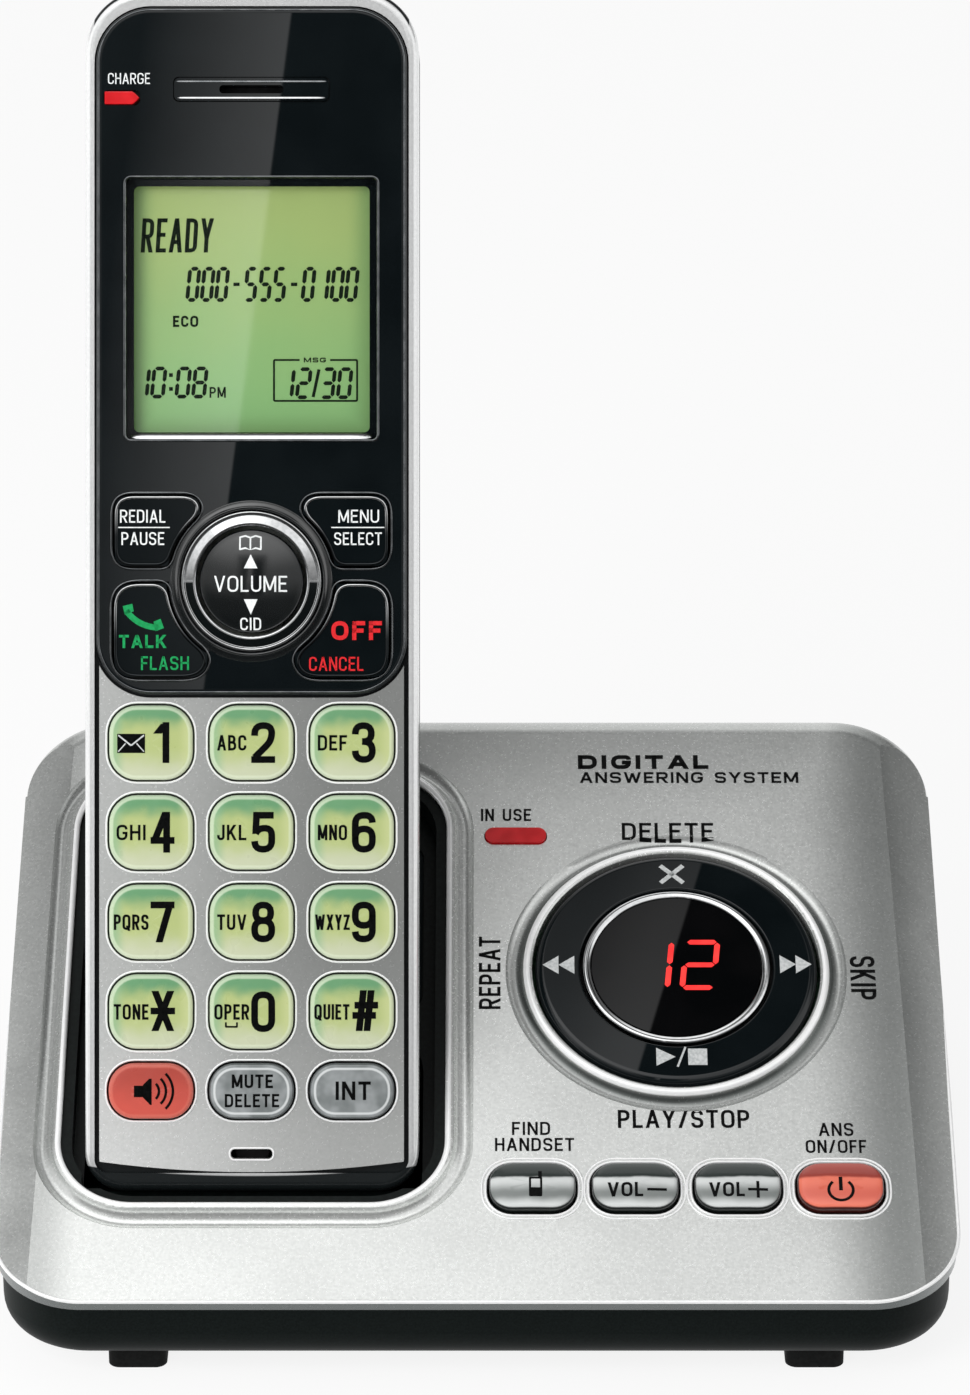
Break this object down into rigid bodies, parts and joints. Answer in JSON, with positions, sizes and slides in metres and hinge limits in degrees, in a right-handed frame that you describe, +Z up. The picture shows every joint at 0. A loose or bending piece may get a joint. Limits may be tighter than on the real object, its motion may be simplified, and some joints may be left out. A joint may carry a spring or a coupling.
{
  "type": "cordless telephone with answering machine base",
  "caption": "Cordless telephone handset with a display and lit keys, standing in the sloping cradle of an answering machine base with a round counter dial and a row of keys.",
  "frame": {"origin": "on the table, under the middle of the base", "axes": "+X to the right of the person using it, +Y to the back, +Z up"},
  "size_m": [0.138, 0.1126, 0.1785],
  "materials": {
    "silver_paint": "fine metallic paint, satin",
    "chrome_trim": "bright plated",
    "black_shell": "fine grain",
    "black_gloss": "polished",
    "dark_window": "polished, dark tint",
    "lit_key": "clear moulding over a pale green ground",
    "red_key": "clear moulding over a red ground",
    "smoke_key": "clear moulding over a grey ground",
    "red_lens": "polished light pipe",
    "display_glass": "clear",
    "lcd": "lit pale green",
    "circuit_board": "solder mask",
    "silicone": "matt",
    "foot_rubber": "matt",
    "contact_metal": "plated",
    "screw_steel": "zinc",
    "inner_black": "plain moulding",
    "battery_wrap": "shrink sleeve"
  },
  "bodies": {
    "base": {"base_top_shell": "silver_paint", "base_bottom_shell": "black_shell", "cradle_insert": "black_gloss", "speaker_grille": "black_gloss", "cradle_contacts": "contact_metal", "counter_window": "dark_window", "counter_trim_ring": "chrome_trim", "counter_display": "inner_black", "in_use_lens": "red_lens", "base_circuit_board": "circuit_board", "base_key_mat": "silicone", "base_speaker": "inner_black", "rubber_feet": "foot_rubber", "base_screws": "screw_steel", "line_jack": "inner_black", "power_jack": "inner_black"},
    "handset": {"handset_front_shell": "silver_paint", "handset_back_shell": "black_shell", "front_mask": "black_gloss", "keypad_plate": "silver_paint", "display_lens": "display_glass", "lcd_module": "lcd", "handset_circuit_board": "circuit_board", "keypad_mat": "silicone", "nav_ring": "chrome_trim", "earpiece_grille": "black_gloss", "earpiece_speaker": "inner_black", "ringer_speaker": "inner_black", "charge_lens": "red_lens", "microphone": "screw_steel", "battery_pack": "battery_wrap", "handset_contacts": "contact_metal", "handset_screws": "screw_steel"},
    "carrier": {"dial_carrier": "inner_black"},
    "dial": {"dial_ring": "black_gloss"},
    "key_find": {"key_find": "smoke_key"},
    "key_volume_down": {"key_volume_down": "smoke_key"},
    "key_volume_up": {"key_volume_up": "smoke_key"},
    "key_answer": {"key_answer": "red_key"},
    "key_1": {"key_1": "lit_key"},
    "key_2": {"key_2": "lit_key"},
    "key_3": {"key_3": "lit_key"},
    "key_4": {"key_4": "lit_key"},
    "key_5": {"key_5": "lit_key"},
    "key_6": {"key_6": "lit_key"},
    "key_7": {"key_7": "lit_key"},
    "key_8": {"key_8": "lit_key"},
    "key_9": {"key_9": "lit_key"},
    "key_star": {"key_star": "lit_key"},
    "key_0": {"key_0": "lit_key"},
    "key_hash": {"key_hash": "lit_key"},
    "key_speaker": {"key_speaker": "red_key"},
    "key_mute": {"key_mute": "smoke_key"},
    "key_intercom": {"key_intercom": "smoke_key"},
    "key_redial": {"key_redial": "black_gloss"},
    "key_menu": {"key_menu": "black_gloss"},
    "key_talk": {"key_talk": "black_gloss"},
    "key_off": {"key_off": "black_gloss"},
    "rocker": {"nav_rocker": "black_gloss"},
    "door": {"battery_door": "black_shell"}
  },
  "joints": [
    {"name": "handset_lift", "type": "slide", "parent": "base", "child": "handset", "axis": [0, 0.4226, 0.9063], "range_m": [0, 0.09]},
    {"name": "key_find_press", "type": "slide", "parent": "base", "child": "key_find", "axis": [0, 0.4384, -0.8988], "range_m": [0, 0.0009], "stiffness_N_per_m": 300},
    {"name": "key_volume_down_press", "type": "slide", "parent": "base", "child": "key_volume_down", "axis": [0, 0.4384, -0.8988], "range_m": [0, 0.0009], "stiffness_N_per_m": 300},
    {"name": "key_volume_up_press", "type": "slide", "parent": "base", "child": "key_volume_up", "axis": [0, 0.4384, -0.8988], "range_m": [0, 0.0009], "stiffness_N_per_m": 300},
    {"name": "key_answer_press", "type": "slide", "parent": "base", "child": "key_answer", "axis": [0, 0.4384, -0.8988], "range_m": [0, 0.0009], "stiffness_N_per_m": 300},
    {"name": "dial_tilt_fore", "type": "hinge", "parent": "base", "child": "carrier", "pos_m": [0.0296, -0.00349, 0.03823], "axis": [1, 0, 0], "range_deg": [-2, 2], "stiffness_Nm_per_rad": 0.05},
    {"name": "dial_tilt_side", "type": "hinge", "parent": "carrier", "child": "dial", "pos_m": [0.0296, -0.00349, 0.03823], "axis": [0, 0.8988, 0.4384], "range_deg": [-2, 2], "stiffness_Nm_per_rad": 0.05},
    {"name": "key_1_press", "type": "slide", "parent": "handset", "child": "key_1", "axis": [0, 0.9063, -0.4226], "range_m": [0, 0.0008], "stiffness_N_per_m": 300},
    {"name": "key_2_press", "type": "slide", "parent": "handset", "child": "key_2", "axis": [0, 0.9063, -0.4226], "range_m": [0, 0.0008], "stiffness_N_per_m": 300},
    {"name": "key_3_press", "type": "slide", "parent": "handset", "child": "key_3", "axis": [0, 0.9063, -0.4226], "range_m": [0, 0.0008], "stiffness_N_per_m": 300},
    {"name": "key_4_press", "type": "slide", "parent": "handset", "child": "key_4", "axis": [0, 0.9063, -0.4226], "range_m": [0, 0.0008], "stiffness_N_per_m": 300},
    {"name": "key_5_press", "type": "slide", "parent": "handset", "child": "key_5", "axis": [0, 0.9063, -0.4226], "range_m": [0, 0.0008], "stiffness_N_per_m": 300},
    {"name": "key_6_press", "type": "slide", "parent": "handset", "child": "key_6", "axis": [0, 0.9063, -0.4226], "range_m": [0, 0.0008], "stiffness_N_per_m": 300},
    {"name": "key_7_press", "type": "slide", "parent": "handset", "child": "key_7", "axis": [0, 0.9063, -0.4226], "range_m": [0, 0.0008], "stiffness_N_per_m": 300},
    {"name": "key_8_press", "type": "slide", "parent": "handset", "child": "key_8", "axis": [0, 0.9063, -0.4226], "range_m": [0, 0.0008], "stiffness_N_per_m": 300},
    {"name": "key_9_press", "type": "slide", "parent": "handset", "child": "key_9", "axis": [0, 0.9063, -0.4226], "range_m": [0, 0.0008], "stiffness_N_per_m": 300},
    {"name": "key_star_press", "type": "slide", "parent": "handset", "child": "key_star", "axis": [0, 0.9063, -0.4226], "range_m": [0, 0.0008], "stiffness_N_per_m": 300},
    {"name": "key_0_press", "type": "slide", "parent": "handset", "child": "key_0", "axis": [0, 0.9063, -0.4226], "range_m": [0, 0.0008], "stiffness_N_per_m": 300},
    {"name": "key_hash_press", "type": "slide", "parent": "handset", "child": "key_hash", "axis": [0, 0.9063, -0.4226], "range_m": [0, 0.0008], "stiffness_N_per_m": 300},
    {"name": "key_speaker_press", "type": "slide", "parent": "handset", "child": "key_speaker", "axis": [0, 0.9063, -0.4226], "range_m": [0, 0.0008], "stiffness_N_per_m": 300},
    {"name": "key_mute_press", "type": "slide", "parent": "handset", "child": "key_mute", "axis": [0, 0.9063, -0.4226], "range_m": [0, 0.0008], "stiffness_N_per_m": 300},
    {"name": "key_intercom_press", "type": "slide", "parent": "handset", "child": "key_intercom", "axis": [0, 0.9063, -0.4226], "range_m": [0, 0.0008], "stiffness_N_per_m": 300},
    {"name": "key_redial_press", "type": "slide", "parent": "handset", "child": "key_redial", "axis": [0, 0.9063, -0.4226], "range_m": [0, 0.0008], "stiffness_N_per_m": 300},
    {"name": "key_menu_press", "type": "slide", "parent": "handset", "child": "key_menu", "axis": [0, 0.9063, -0.4226], "range_m": [0, 0.0008], "stiffness_N_per_m": 300},
    {"name": "key_talk_press", "type": "slide", "parent": "handset", "child": "key_talk", "axis": [0, 0.9063, -0.4226], "range_m": [0, 0.0008], "stiffness_N_per_m": 300},
    {"name": "key_off_press", "type": "slide", "parent": "handset", "child": "key_off", "axis": [0, 0.9063, -0.4226], "range_m": [0, 0.0008], "stiffness_N_per_m": 300},
    {"name": "rocker_tilt", "type": "hinge", "parent": "handset", "child": "rocker", "pos_m": [-0.0323, 0.00132, 0.10042], "axis": [1, 0, 0], "range_deg": [-3, 3], "stiffness_Nm_per_rad": 0.03},
    {"name": "battery_door_slide", "type": "slide", "parent": "handset", "child": "door", "axis": [0, -0.4226, -0.9063], "range_m": [0, 0.006]}
  ]
}
